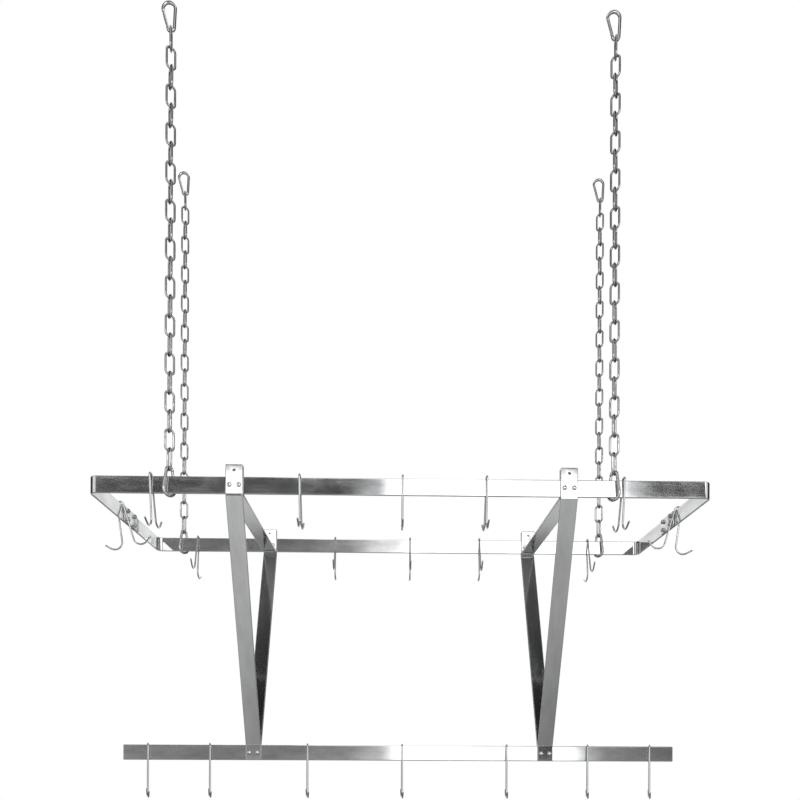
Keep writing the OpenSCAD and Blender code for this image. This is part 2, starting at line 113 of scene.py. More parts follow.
# Path in a plane: a straight run is p + t (sin h, cos h); a bend of radius r turns the heading h about
# c = p + r side (cos h, -sin h), so p(a) = c - r side (cos(h + a), -sin(h + a)). It gives the points, their
# headings in degrees and the lengths to them.
def tracePath(start, heading, steps, stepDegrees=5.0, runStep=1e9):
    points, headings, lengths = [np.array([start], float)], [np.array([heading], float)], [np.zeros(1)]
    here, turned, travelled = np.array(start, float), heading, 0.0
    for step in steps:
        if len(step) == 1:
            t = np.linspace(0, step[0], max(1, math.ceil(step[0] / runStep)) + 1)[1:]
            h = np.radians(turned)
            points.append(here + t[:, None] * np.array([np.sin(h), np.cos(h)]))
            headings.append(np.full(len(t), turned))
            lengths.append(travelled + t)
        else:
            radius, turn = step
            a = np.linspace(0, turn, max(2, math.ceil(abs(turn) / stepDegrees)) + 1)[1:]
            side, h = np.sign(turn), np.radians(turned)
            centre = here + radius * side * np.array([np.cos(h), -np.sin(h)])
            swung = np.radians(turned + a)
            points.append(centre - radius * side * np.stack([np.cos(swung), -np.sin(swung)], 1))
            headings.append(turned + a)
            lengths.append(travelled + np.radians(np.abs(a)) * radius)
            turned += turn
        here, travelled = points[-1][-1], lengths[-1][-1]
    return np.concatenate(points), np.concatenate(headings), np.concatenate(lengths)


# Faces of a grid of points: quad (i, j) joins (i, j), (i, j+1), (i+1, j+1), (i+1, j), wrapping where closed.
def gridFaces(rows, columns, closeRows=False, closeColumns=True):
    i = np.arange(rows if closeRows else rows - 1)
    j = np.arange(columns if closeColumns else columns - 1)
    a, b = np.meshgrid(i, j, indexing="ij")
    c, d = (a + 1) % rows, (b + 1) % columns
    return np.stack([a * columns + b, a * columns + d, c * columns + d, c * columns + b], -1).reshape(-1, 4)


# A closed shell from a grid of rings: each end is shut by a fan round the middle of its ring.
def shell(grid, grain, closeRows=False):
    rows, columns = grid.shape[:2]
    points, quads = grid.reshape(-1, 3), gridFaces(rows, columns, closeRows)
    threads, fans = grain.reshape(-1, 3), np.zeros((0, 3), int)
    if not closeRows:
        n = rows * columns
        j = np.arange(columns)
        k = (j + 1) % columns
        last = (rows - 1) * columns
        points = np.vstack([points, grid[0].mean(0), grid[-1].mean(0)])
        threads = np.vstack([threads, grain[0].mean(0), grain[-1].mean(0)])
        startFan = np.stack([k, j, np.full(columns, n)], 1)
        endFan = np.stack([last + j, last + k, np.full(columns, n + 1)], 1)
        fans = np.vstack([startFan, endFan])
    return {"points": points, "quads": quads, "fans": fans, "grain": threads}


# Signed volume of a shell, the sum of a . (b x c) / 6 over its triangles: below zero means inside out.
def signedVolume(part):
    p = part["points"]
    triangles = np.vstack([part["quads"][:, [0, 1, 2]], part["quads"][:, [0, 2, 3]], part["fans"]])
    a, b, c = p[triangles[:, 0]], p[triangles[:, 1]], p[triangles[:, 2]]
    return np.einsum("ij,ij->i", a, np.cross(b, c)).sum() / 6


# Moves a shell: q = R p + t, and its faces are turned over where R mirrors or the shell is inside out.
def moved(part, turn=np.eye(3), shift=(0, 0, 0)):
    out = dict(part, points=part["points"] @ np.asarray(turn, float).T + np.asarray(shift, float))
    if signedVolume(out) < 0:
        out["quads"], out["fans"] = out["quads"][:, ::-1], out["fans"][:, ::-1]
    return out


# The turn about X: y and z become y cos a - z sin a and y sin a + z cos a.
def turnX(degrees):
    a = math.radians(degrees)
    return np.array([[1, 0, 0], [0, math.cos(a), -math.sin(a)], [0, math.sin(a), math.cos(a)]])


# The turn about Y: x and z become x cos a + z sin a and z cos a - x sin a.
def turnY(degrees):
    a = math.radians(degrees)
    return np.array([[math.cos(a), 0, math.sin(a)], [0, 1, 0], [-math.sin(a), 0, math.cos(a)]])


# The turn about Z: x and y become x cos a - y sin a and x sin a + y cos a.
def turnZ(degrees):
    a = math.radians(degrees)
    return np.array([[math.cos(a), -math.sin(a), 0], [math.sin(a), math.cos(a), 0], [0, 0, 1]])


flipX, flipY, flipZ = np.diag([-1.0, 1, 1]), np.diag([1.0, -1, 1]), np.diag([1.0, 1, -1])


# Leaves x as it is on one side of the rack, and turns it to -x on the mirrored side.
def sideFlip(mirror):
    return flipX if mirror < 0 else np.eye(3)


# Shades all faces of a mesh smooth.
def smooth(mesh):
    mesh.polygons.foreach_set("use_smooth", np.ones(len(mesh.polygons), bool))


# Stores where each point lies along, across and through its piece, in m, for the metals to read.
def setGrain(mesh, grain):
    attribute = mesh.attributes.get("grain") or mesh.attributes.new("grain", "FLOAT_VECTOR", "POINT")
    attribute.data.foreach_set("vector", np.asarray(grain, np.float32).ravel())


# The points of a mesh, in m, one row each.
def pointsOf(mesh):
    co = np.zeros(len(mesh.vertices) * 3, np.float32)
    mesh.vertices.foreach_get("co", co)
    return co.reshape(-1, 3)


# One mesh object from shells in mm, with their grain.
def meshFrom(name, parts):
    points, grain, quads, fans, base = [], [], [], [], 0
    for part in parts:
        points.append(part["points"])
        grain.append(part["grain"])
        quads.append(part["quads"] + base)
        fans.append(part["fans"] + base)
        base += len(part["points"])
    points, grain = np.vstack(points) * mm, np.vstack(grain) * mm
    quads, fans = np.vstack(quads), np.vstack(fans)
    corners = np.concatenate([quads.ravel(), fans.ravel()]).astype(np.int32)
    fanStarts = len(quads) * 4 + np.arange(len(fans)) * 3
    starts = np.concatenate([np.arange(len(quads)) * 4, fanStarts]).astype(np.int32)
    mesh = bpy.data.meshes.new(name)
    mesh.vertices.add(len(points))
    mesh.vertices.foreach_set("co", points.astype(np.float32).ravel())
    mesh.loops.add(len(corners))
    mesh.loops.foreach_set("vertex_index", corners)
    mesh.polygons.add(len(starts))
    mesh.polygons.foreach_set("loop_start", starts)
    mesh.update(calc_edges=True)
    mesh.validate()
    smooth(mesh)
    setGrain(mesh, grain)
    return newObject(name, mesh)


# Gives a piece the mesh that its modifiers make of it, and takes the modifiers off.
def applyModifiers(piece):
    bpy.context.view_layer.update()
    result = bpy.data.meshes.new_from_object(piece.evaluated_get(bpy.context.evaluated_depsgraph_get()))
    piece.modifiers.clear()
    piece.data = result
    smooth(result)


# Weights the shading by the size of the faces, so that flats look flat beside their rounded edges.
def evenShading(piece):
    even = piece.modifiers.new("even", "WEIGHTED_NORMAL")
    even.weight, even.keep_sharp = 100, False


# A finished piece takes the place of its CAD node and rides on the node's body.
def dress(made, node, material):
    made.data.materials.clear()
    made.data.materials.append(material)
    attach(made, frame["nodes"][node]["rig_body"])
    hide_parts(node)


# Metals

# A new material with nothing in its node tree.
def emptyMaterial(name):
    material = bpy.data.materials.new(name)
    material.use_nodes = True
    material.node_tree.nodes.clear()
    return material, material.node_tree


# A new node of a kind, with its settings. Each named or numbered input takes a plain value or the output of
# another node.
def nodeOf(tree, kind, inputs=None, **settings):
    node = tree.nodes.new("ShaderNode" + kind)
    for name, value in settings.items():
        setattr(node, name, value)
    for socket, value in (inputs or {}).items():
        if isinstance(value, bpy.types.NodeSocket):
            tree.links.new(value, node.inputs[socket])
        else:
            node.inputs[socket].default_value = value
    return node


# a + b, a b or the larger of a and b, by the kind of Math node.
def mathOf(tree, kind, a, b):
    return nodeOf(tree, "Math", {0: a, 1: b}, operation=kind).outputs["Value"]


# Blend of two values: a share + b (1 - share).
def blended(tree, a, b, share):
    return mathOf(tree, "ADD", mathOf(tree, "MULTIPLY", a, share), mathOf(tree, "MULTIPLY", b, 1 - share))


# Carries a value from one range over to another, and holds it at the ends.
def ranged(tree, value, start, end, toStart=0.0, toEnd=1.0, curve="LINEAR"):
    inputs = {"Value": value, "From Min": start, "From Max": end, "To Min": toStart, "To Max": toEnd}
    return nodeOf(tree, "MapRange", inputs, interpolation_type=curve).outputs["Result"]


# noise(k * grain), with a factor k for each direction of the grain.
def streaks(tree, grain, scale, detail, rough):
    scaled = nodeOf(tree, "Mapping", {"Vector": grain, "Scale": scale}).outputs["Vector"]
    inputs = {"Vector": scaled, "Scale": 1.0, "Detail": detail, "Roughness": rough}
    return nodeOf(tree, "TexNoise", inputs).outputs["Fac"]


# A normal lifted by a height, over the surface's own normal or a given one.
def bumped(tree, height, strength, depth, normal=None):
    inputs = {"Height": height, "Strength": strength, "Distance": depth}
    if normal is not None:
        inputs["Normal"] = normal
    return nodeOf(tree, "Bump", inputs).outputs["Normal"]


# One coordinate, X, Y or Z, of a surface's place in its own frame, in m.
def ownPlace(tree, axis):
    place = nodeOf(tree, "TexCoord").outputs["Object"]
    return nodeOf(tree, "SeparateXYZ", {0: place}).outputs[axis]


# The unit normal along n + (0, 0, lean), where each lean grows from none to all between two heights in mm.
def leaningNormal(tree, leans):
    height, tilt = ownPlace(tree, "Z"), 0.0
    for start, end, lean in leans:
        tilt = mathOf(tree, "ADD", tilt, ranged(tree, height, start * mm, end * mm, 0.0, lean))
    upwards = nodeOf(tree, "CombineXYZ", {"Z": tilt}).outputs["Vector"]
    facing = nodeOf(tree, "NewGeometry").outputs["Normal"]
    added = nodeOf(tree, "VectorMath", {0: facing, 1: upwards}, operation="ADD").outputs["Vector"]
    return nodeOf(tree, "VectorMath", {0: added}, operation="NORMALIZE").outputs["Vector"]


noiseUse = {
    "fine": (3.0, 0.6), "broad": (4.0, 0.55), "smudge": (5.0, 0.6),   # detail and roughness
    "fineShare": 0.45, "smudgeShare": 0.5,   # of the tone, and of the wear
    "tone": (0.32, 0.68), "clouds": (0.36, 0.64), "wear": (0.34, 0.66),   # noise values at the ranges' ends
}


# A metal whose colour and roughness follow drawn streaks, noise(k * grain) with a small k along the piece,
# and broad smudges, noise(q * grain). The streaks also lift the surface a little as bump, and the smudges
# wave it. Where the look has leans, the normal leans too, for bar ends that don't lie quite flat.
def drawnMetal(name, look):
    material, tree = emptyMaterial(name)
    grain = nodeOf(tree, "Attribute", attribute_name="grain").outputs["Vector"]
    fine, broad, smudge = (streaks(tree, grain, look[size + "Scale"], *noiseUse[size])
                           for size in ("fine", "broad", "smudge"))
    tone = blended(tree, fine, broad, noiseUse["fineShare"])
    tones = {"Factor": ranged(tree, tone, *noiseUse["tone"]),
             "A": (*look["darkTone"], 1), "B": (*look["lightTone"], 1)}
    colour = nodeOf(tree, "Mix", tones, data_type="RGBA").outputs["Result"]
    clouds = ranged(tree, smudge, *noiseUse["clouds"], *look["clouds"])
    wear = blended(tree, smudge, tone, noiseUse["smudgeShare"])
    base = leaningNormal(tree, look["leans"]) if "leans" in look else None
    drawn = bumped(tree, fine, look["bumpStrength"], look["bumpDepth"], base)
    surface = nodeOf(tree, "BsdfPrincipled", {
        "Metallic": 1.0,
        "Base Color": nodeOf(tree, "VectorMath", {0: colour, "Scale": clouds}, operation="SCALE").outputs[0],
        "Roughness": ranged(tree, wear, *noiseUse["wear"], *look["rough"]),
        "Normal": bumped(tree, smudge, look["waveStrength"], look["waveDepth"], drawn),
    })
    nodeOf(tree, "OutputMaterial", {"Surface": surface.outputs["BSDF"]})
    return material


barLook = {      # satin stainless flat bar, polished lengthways
    "darkTone": (0.60, 0.605, 0.615), "lightTone": (0.68, 0.685, 0.69), "clouds": (0.84, 1.12),
    "fineScale": (18, 2200, 2200), "broadScale": (3, 420, 420), "smudgeScale": (9, 22, 22),
    "rough": (0.04, 0.09),
    "bumpStrength": 0.10, "bumpDepth": 0.00004, "waveStrength": 0.05, "waveDepth": 0.0006,
}
# the braces are duller; their tabs lean up and their feet down, each from a height to the next in mm
legLook = dict(
    barLook, darkTone=(0.62, 0.625, 0.635), lightTone=(0.66, 0.665, 0.67), clouds=(0.92, 1.06),
    rough=(0.08, 0.12), waveStrength=0.02,
    leans=((ringLow - 1, ringLow + 1, 0.042), (lowTop + 1, lowTop - 1, -0.06)),
)
crossLook = dict(legLook, leans=((ringLow + 9, ringLow + 11, 0.042),))
hookLook = {     # bright drawn wire
    "darkTone": (0.64, 0.645, 0.65), "lightTone": (0.74, 0.745, 0.75), "clouds": (0.97, 1.02),
    "fineScale": (60, 1500, 1500), "broadScale": (12, 300, 300), "smudgeScale": (60, 120, 120),
    "rough": (0.07, 0.12),
    "bumpStrength": 0.03, "bumpDepth": 0.00002, "waveStrength": 0.02, "waveDepth": 0.0001,
}
chainLook = {    # zinc plated welded chain
    "darkTone": (0.43, 0.435, 0.445), "lightTone": (0.57, 0.575, 0.58), "clouds": (0.92, 1.05),
    "fineScale": (300, 900, 900), "broadScale": (60, 160, 160), "smudgeScale": (70, 90, 90),
    "rough": (0.06, 0.14),
    "bumpStrength": 0.05, "bumpDepth": 0.00003, "waveStrength": 0.04, "waveDepth": 0.0001,
}
snapLook = dict(chainLook, darkTone=(0.54, 0.545, 0.55), lightTone=(0.64, 0.645, 0.65), rough=(0.05, 0.10),
                waveStrength=0.02)
gateLook = dict(hookLook, lightTone=(0.76, 0.765, 0.77))
boltLook = dict(hookLook, darkTone=(0.68, 0.685, 0.69), lightTone=(0.76, 0.765, 0.77),
                fineScale=(900, 900, 900), broadScale=(200, 200, 200), smudgeScale=(90, 90, 90))
nutLook = dict(boltLook, darkTone=(0.66, 0.665, 0.67), lightTone=(0.74, 0.745, 0.75), rough=(0.18, 0.3))
barMetal = drawnMetal("satinBar", barLook)
legMetal = drawnMetal("satinLeg", legLook)
crossMetal = drawnMetal("satinCross", crossLook)
hookMetal = drawnMetal("brightWire", hookLook)
chainMetal = drawnMetal("platedChain", chainLook)
snapMetal = drawnMetal("platedSnap", snapLook)
gateMetal = drawnMetal("brightGate", gateLook)
boltMetal = drawnMetal("polishedBolt", boltLook)
nutMetal = drawnMetal("platedNut", nutLook)
print("metals mixed")


# Flat bars

# Section of a bar: straight sides joined by quarter circles of the edge radius, all inset by the given
# amount. Its points run round once.
def barProfile(inset, steps=4):
    a = np.radians(np.linspace(0, 90, steps + 1))
    quarter = np.stack([np.cos(a), np.sin(a)], 1) * (rack["edgeRound"] - inset)
    half = np.array([thick, width]) / 2 - rack["edgeRound"]
    corners = []
    for c, s, sign in ((1, 0, (1, 1)), (0, 1, (-1, 1)), (-1, 0, (-1, -1)), (0, -1, (1, -1))):
        spun = np.stack([c * quarter[:, 0] - s * quarter[:, 1], s * quarter[:, 0] + c * quarter[:, 1]], 1)
        corners.append(spun + half * sign)
    return np.vstack(corners)


# A flat bar carried along a path in a plane: point = path + across d + axis w, where (d, w) is the profile.
# The ends are rounded over: the profile is inset by e (1 - cos a) at e (1 - sin a) from the end.
def flatBar(path, headings, lengths, toWorld):
    e, apart = rack["edgeRound"], 0.05   # mm; the sections between keep that far from the ends' own
    a = np.radians([90.0, 60, 30, 0])
    endPlace, endInset = lengths[0] + e * (1 - np.sin(a)), e * (1 - np.cos(a))
    middle = lengths[(lengths > endPlace[-1] + apart) & (lengths < lengths[-1] - e - apart)]
    place = np.concatenate([endPlace, middle, lengths[-1] - endPlace[::-1] + lengths[0]])
    inset = np.concatenate([endInset, np.zeros(len(middle)), endInset[::-1]])
    centre = np.stack([np.interp(place, lengths, path[:, k]) for k in (0, 1)], 1)
    heading = np.radians(np.interp(place, lengths, headings))
    across = np.stack([np.cos(heading), -np.sin(heading)], 1)
    section = np.stack([barProfile(i) for i in inset])
    flat = centre[:, None, :] + across[:, None, :] * section[:, :, :1]
    grid = np.concatenate([flat, section[:, :, 1:]], -1) @ np.asarray(toWorld, float).T
    along = np.broadcast_to(place[:, None, None], section[:, :, :1].shape)
    return moved(shell(grid, np.concatenate([along, section], -1)))


planXY = np.eye(3)   # path in X and Y, width up Z
sideYZ = np.array([[0, 0, 1], [1, 0, 0], [0, 1, 0]])   # path in Y and Z, width along X

# The ring: half an end bar, a corner, the rail, a corner and half an end bar, drawn as the front half.
endRun = rack["depth"] / 2 - rack["cornerRadius"] - rack["seamGap"] / 2
railRun = rack["length"] - 2 * rack["cornerRadius"]
cornerMid = rack["cornerRadius"] - thick / 2
ringSteps = [(endRun,), (cornerMid, -90), (railRun,), (cornerMid, -90), (endRun,)]
ringPath = tracePath((-endX, -rack["seamGap"] / 2), 180, ringSteps, rack["bendStep"])
halfRing = moved(flatBar(*ringPath, planXY), shift=(0, 0, boltZ))
platePath = tracePath((0, -rack["spliceLength"] / 2), 0, [(rack["spliceLength"],)])
plate, plateX = flatBar(*platePath, planXY), endX - thick
lowPath = tracePath((-rack["lowLength"] / 2, 0), 90, [(rack["lowLength"],)])
ringPieces = {
    "frame_front_half": [halfRing],
    "frame_back_half": [moved(halfRing, flipY)],
    "splice_plates": [moved(plate, shift=(side * plateX, 0, boltZ)) for side in (-1, 1)],
    "bottom_rail": [moved(flatBar(*lowPath, planXY), shift=(0, 0, footZ))],
}

# The braces: a leg comes down outside the rail, leans in and ends flat on the low rail; a cross bar is
# turned up inside both rails. Their ears stand above the ring with one hole each.
earTop = rack["ringTop"] + rack["earHeight"]
tabHeight = rack["earHeight"] + width
bendMid = rack["bendRadius"] + thick / 2
# the slope's turn T solves 2 m = (2 m - run) cos T + fall sin T, with m the bends' radius at mid thickness
legFall = rack["drop"] - rack["legStart"]
legRun = railY - rack["footGap"]
bends = 2 * bendMid
slopeTurn = math.asin(bends / math.hypot(legFall, bends - legRun)) - math.atan2(bends - legRun, legFall)
slopeRun = (legRun - bends * (1 - math.cos(slopeTurn))) / math.sin(slopeTurn)
legTurn = math.degrees(slopeTurn)
legSteps = [(tabHeight + rack["legStart"],), (bendMid, -legTurn), (slopeRun,), (bendMid, legTurn),
            (width,)]
legPath = tracePath((-railY - thick, earTop), 180, legSteps, rack["bendStep"])
tabRun = tabHeight - thick - rack["bendRadius"]
spanRun = 2 * railY - 3 * thick - 2 * rack["bendRadius"]
crossSteps = [(tabRun,), (bendMid, -90), (spanRun,), (bendMid, -90), (tabRun,)]
crossPath = tracePath((-railY + thick, earTop), 180, crossSteps, rack["bendStep"])
frontLeg, crossBar = flatBar(*legPath, sideYZ), flatBar(*crossPath, sideYZ)
for side, x in (("left", -rack["braceX"]), ("right", rack["braceX"])):
    ringPieces["leg_front_" + side] = [moved(frontLeg, shift=(x, 0, 0))]
    ringPieces["leg_back_" + side] = [moved(frontLeg, flipY, (x, 0, 0))]
    ringPieces["cross_bar_" + side] = [moved(crossBar, shift=(x, 0, 0))]


# The grain of a cut bar is worked out again: the nearest path point i gives s = s(i) + (p - p(i)) . heading,
# d = (p - p(i)) . across, and w is the distance along the bar's width.
def grainAgain(made, path, headings, lengths, backwards, x):
    co = pointsOf(made.data) / mm
    flat = np.stack([co[:, 1] * (-1 if backwards else 1), co[:, 2]], 1)
    s = np.arange(lengths[0], lengths[-1], rack["grainStep"])
    centre = np.stack([np.interp(s, lengths, path[:, k]) for k in (0, 1)], 1)
    h = np.radians(np.interp(s, lengths, headings))
    ahead, across = np.stack([np.sin(h), np.cos(h)], 1), np.stack([np.cos(h), -np.sin(h)], 1)
    near = ((flat[:, None, :] - centre[None]) ** 2).sum(-1).argmin(1)
    off = flat - centre[near]
    along, aside = s[near] + (off * ahead[near]).sum(1), (off * across[near]).sum(1)
    setGrain(made.data, np.stack([along, aside, co[:, 0] - x], 1) * mm)


# An ear hole's cutter: a revolve about Y whose radius flares by the chamfer at both faces of the bar, and
# goes on a little past them.
def holeCutter(x, y, sides=48, past=2.0):
    r, h, chamfer = rack["earHole"] / 2, thick / 2, rack["holeChamfer"]
    half = np.array([[h - chamfer, r], [h, r + chamfer], [h + past, r + chamfer + past]])
    stations = np.vstack([half[::-1] * [-1, 1], half])
    a = np.radians(np.arange(sides) * 360 / sides)
    ring = np.stack([np.cos(a), np.zeros(sides), np.sin(a)], 1)
    grid = stations[:, None, 1:] * ring[None] + np.array([0, 1, 0]) * stations[:, None, :1]
    return moved(shell(grid, grid), shift=(x, y, rack["ringTop"] + rack["earHoleUp"]))


# Cuts the shells out of the piece and keeps the result as its mesh.
def cutOut(made, cutters):
    tool = meshFrom("cutter", cutters)
    cut = made.modifiers.new("cut", "BOOLEAN")
    cut.operation, cut.solver, cut.object = "DIFFERENCE", "EXACT", tool
    applyModifiers(made)
    bpy.data.objects.remove(tool)


for node, parts in ringPieces.items():
    piece, metal = meshFrom(node + "_bar", parts), barMetal
    isLeg, isCross, isBack = node.startswith("leg"), node.startswith("cross"), "back" in node
    if isLeg or isCross:
        metal = legMetal if isLeg else crossMetal
        x = rack["braceX"] * (-1 if node.endswith("left") else 1)
        earY = railY + thick * (1 if isLeg else -1)
        earSides = (-1, 1) if isCross else (1,) if isBack else (-1,)
        cutOut(piece, [holeCutter(x, s * earY) for s in earSides])
        grainAgain(piece, *(legPath if isLeg else crossPath), isBack, x)
    evenShading(piece)
    dress(piece, node, metal)
print("bars bent:", len(ringPieces))


# Round wire

# Round wire along a path in the XZ plane: point = path + r (cos f across + sin f y) with the two half
# thicknesses a and b of the section, squared off by |cos|^(2/p), |sin|^(2/p) where it is pressed flat.
def wireAlong(path, headings, lengths, halfA, halfB=None, power=2.0, sides=16, closed=False, along=None):
    f = np.radians(np.arange(sides) * 360 / sides)
    halfA = np.broadcast_to(halfA, lengths.shape)
    halfB = halfA if halfB is None else np.broadcast_to(halfB, lengths.shape)
    power = np.broadcast_to(power, lengths.shape)
    c = np.sign(np.cos(f)) * np.abs(np.cos(f)) ** (2 / power[:, None])
    s = np.sign(np.sin(f)) * np.abs(np.sin(f)) ** (2 / power[:, None])
    h = np.radians(headings)
    across = np.stack([np.cos(h), np.zeros(len(h)), -np.sin(h)], 1)
    spread, rise = c * halfA[:, None], s * halfB[:, None]
    centre = np.stack([path[:, 0], np.zeros(len(path)), path[:, 1]], 1)
    inPlane = centre[:, None, :] + across[:, None, :] * spread[:, :, None]
    grid = inPlane + np.array([0, 1, 0]) * rise[:, :, None]
    along = lengths if along is None else along
    grain = np.stack([np.broadcast_to(along[:, None], spread.shape), spread, rise], -1)
    return moved(shell(grid, grain, closed))


# Rounded ends: the wire's radius is r sin a at r (1 - cos a) from its tip, for both ends. It starts a few
# degrees up, and the fan shuts the rest.
def roundEnds(path, headings, lengths, radius, steps=5, firstDegrees=8):
    a = np.radians(np.linspace(firstDegrees, 90, steps))[:-1]
    on = radius * (1 - np.cos(a))
    first, last = np.radians(headings[0]), np.radians(headings[-1])
    back = path[0] - np.outer(radius - on, [np.sin(first), np.cos(first)])
    front = path[-1] + np.outer(radius - on[::-1], [np.sin(last), np.cos(last)])
    size = radius * np.sin(a)
    return (np.vstack([back, path, front]),
            np.concatenate([np.full(len(a), headings[0]), headings, np.full(len(a), headings[-1])]),
            np.concatenate([lengths[0] - (radius - on), lengths, lengths[-1] + radius - on[::-1]]),
            np.concatenate([size, np.full(len(path), radius), size[::-1]]))


# Two halves of a wire that start at the same point make one path: the first is turned end for end.
def joinHalves(first, second):
    p, h, s = first
    return (np.vstack([p[::-1], second[0][1:]]), np.concatenate([h[::-1] + 180, second[1][1:]]),
            np.concatenate([-s[::-1], second[2][1:]]))


# A path seen in a mirror at X = 0: (x, z) becomes (-x, z) and the heading h becomes -h.
def mirrored(traced):
    return traced[0] * np.array([-1, 1]), -traced[1], traced[2]


potHook = {      # mm and degrees
    "wire": 5.5, "height": 155.0, "lowHeight": 181.0, "clip": 14.0, "splay": 4.5, "gap": 0.3,
    "crook": 24.0, "tipRise": 40.0, "tip": 20.0,
    "front": (-733, -300, 1, 248, 652), "back": (-762, -243, 41, 305, 719),
    "low": (-843, -636, -310, 8, 361, 635, 846), "endY": -62,
    "aim": (70.0, 2340.0),   # the low rail's hooks are turned towards this place in front
    "bendStep": 6, "runStep": 12,
}
clipMid = (potHook["clip"] + potHook["wire"]) / 2
splay = math.radians(potHook["splay"])
clipSpare = potHook["clip"] - thick - 2 * potHook["gap"]
hookLean = potHook["splay"] + math.degrees(math.atan(clipSpare / width))


# A pot hook of one wire: clip, stem, crook and tip, and their mirror image. The stem's length is
# (height - wire - reach + reach sin splay) / cos splay, with reach = clip + crook at mid wire.
def hookShell(height):
    reach = clipMid + potHook["crook"]
    stem = (height - potHook["wire"] - reach + reach * math.sin(splay)) / math.cos(splay)
    crookTurn = potHook["splay"] - 90 - potHook["tipRise"]
    steps = [(clipMid, 90 - potHook["splay"]), (stem,), (potHook["crook"], crookTurn), (potHook["tip"],)]
    half = tracePath((0, clipMid), 90, steps, potHook["bendStep"], potHook["runStep"])
    return wireAlong(*roundEnds(*joinHalves(mirrored(half), half), potHook["wire"] / 2))


# Height of the bar's top over the centre of a clip turned on it: the least of R sin t - sqrt(r r - o o) with
# o = R cos t cos turn - thickness / 2 for t from 45 to 90 degrees, less a little play.
def clipSeat(turn):
    t = np.radians(np.arange(45, 91))
    over = np.maximum(0, clipMid * np.cos(t) * math.cos(math.radians(turn)) - thick / 2)
    foot = clipMid * np.sin(t) - np.sqrt(np.maximum(0, potHook["wire"] ** 2 / 4 - over ** 2))
    return foot.min() - potHook["gap"]


leanAngle, clipHalf = math.radians(hookLean), potHook["clip"] / 2
onBar = (thick / 2 + potHook["gap"] - clipHalf * math.cos(leanAngle), 0,
         -clipHalf * math.sin(leanAngle))
leaned = moved(hookShell(potHook["height"]), turnY(-hookLean), onBar)
longHook = hookShell(potHook["lowHeight"])
hookPlaces = {}
for row, side in (("front", -1), ("back", 1)):
    for number, x in enumerate(potHook[row], 1):
        place = (x, side * railY, rack["ringTop"])
        hookPlaces["hook_%s_%d" % (row, number)] = moved(leaned, turnZ(-90 * side), place)
for number, x in enumerate(potHook["low"], 1):
    turn = math.degrees(math.atan((x - potHook["aim"][0]) / potHook["aim"][1]))
    hookPlaces["hook_low_%d" % number] = moved(longHook, turnZ(90 - turn), (x, 0, lowTop - clipSeat(turn)))
for end, side, turn in (("left", -1, 0), ("right", 1, 180)):
    place = (side * endX, potHook["endY"], rack["ringTop"])
    hookPlaces["hook_end_" + end] = moved(leaned, turnZ(turn), place)
for node, part in hookPlaces.items():
    dress(meshFrom(node + "_wire", [part]), node, hookMetal)
print("pot hooks bent:", len(hookPlaces))

# Chains
link = {         # mm and degrees
    "wire": 6.5, "inside": 56.05, "width": 31.0, "count": 23, "gap": 0.3,
    "firstTurn": 101.0, "turn": 34.5, "lastTurn": 129.0,
    "weldRise": 0.22, "weldLength": 4.0, "bendStep": 15, "runStep": 4.5, "sides": 12,
    "grainShift": (17.0, 3.0),   # from link to link, so that no two have the same streaks
}
linkMid = (link["width"] - link["wire"]) / 2
linkRun = link["inside"] - 2 * (linkMid - link["wire"] / 2)
pitch = link["inside"] - link["gap"]

snap = {         # mm and degrees
    "length": 92.0, "wide": 45.0, "narrow": 28.0, "wire": 9.0, "lean": 6.0, "turn": 48.0,
    "gate": 8.0, "pin": 3.0, "pivotAt": 9.0, "pastPivot": 3.0, "shoulder": 3.0,
    "tongue": 3.6, "tongueLength": 7.0, "flatHalf": 3.4,
    "eyeRadius": 3.5, "eyeStart": 0.02, "leastHalf": 0.5,
    "pressStart": 1.2, "pressEnd": 0.4, "squareness": 5,
    "rivetHead": 2.3, "rivetRise": 0.55, "rivetSink": 0.3, "rivetRim": (0.3, 0.25, 0.1), "rivetSides": 20,
    "bendStep": 6, "pivotStep": 0.75, "latchStep": 1.5, "sides": 20,
}
linkHalf, snapHalf = link["wire"] / 2, snap["wire"] / 2
wideMid, narrowMid = (snap["wide"] - snap["wire"]) / 2, (snap["narrow"] - snap["wire"]) / 2
snapRun = snap["length"] - (snap["wide"] + snap["narrow"]) / 2
snapLean = math.degrees(math.asin((wideMid - narrowMid) / snapRun))
legLength = snapRun * math.cos(math.radians(snapLean))
snapTopZ = -(wideMid - snapHalf)
snapEyeZ = snapTopZ - snapRun * math.cos(math.radians(snap["lean"]))
firstWireZ = snapEyeZ - narrowMid + snapHalf + linkHalf + link["gap"]
lastWireZ = firstWireZ - (link["count"] - 1) * pitch - linkRun - 2 * linkMid
snapLowZ = lastWireZ + linkHalf + snapHalf + link["gap"] - narrowMid - snapRun

# A link: a round bend, a straight side, a bend and a side, with the butt weld as a low swelling
# r + k exp(-(z / w)^2) halfway down one side. Its grain runs from the foot up both sides.
linkSteps = [(linkMid, 90), (linkRun,), (linkMid, 180), (linkRun,), (linkMid, 90)]
linkPath = tracePath((0, 0), 90, linkSteps, link["bendStep"], link["runStep"])
path, headings, lengths = (values[:-1] for values in linkPath)   # its last point is its first
loop = 2 * (math.pi * linkMid + linkRun)
fromWeld = lengths - (loop - math.pi * linkMid / 2 - linkRun / 2)
swollen = linkHalf + link["weldRise"] * np.exp(-(fromWeld / link["weldLength"]) ** 2)
fromFoot = np.abs(lengths - loop / 2)
oneLink = wireAlong(path, headings, lengths, swollen, sides=link["sides"], closed=True, along=fromFoot)


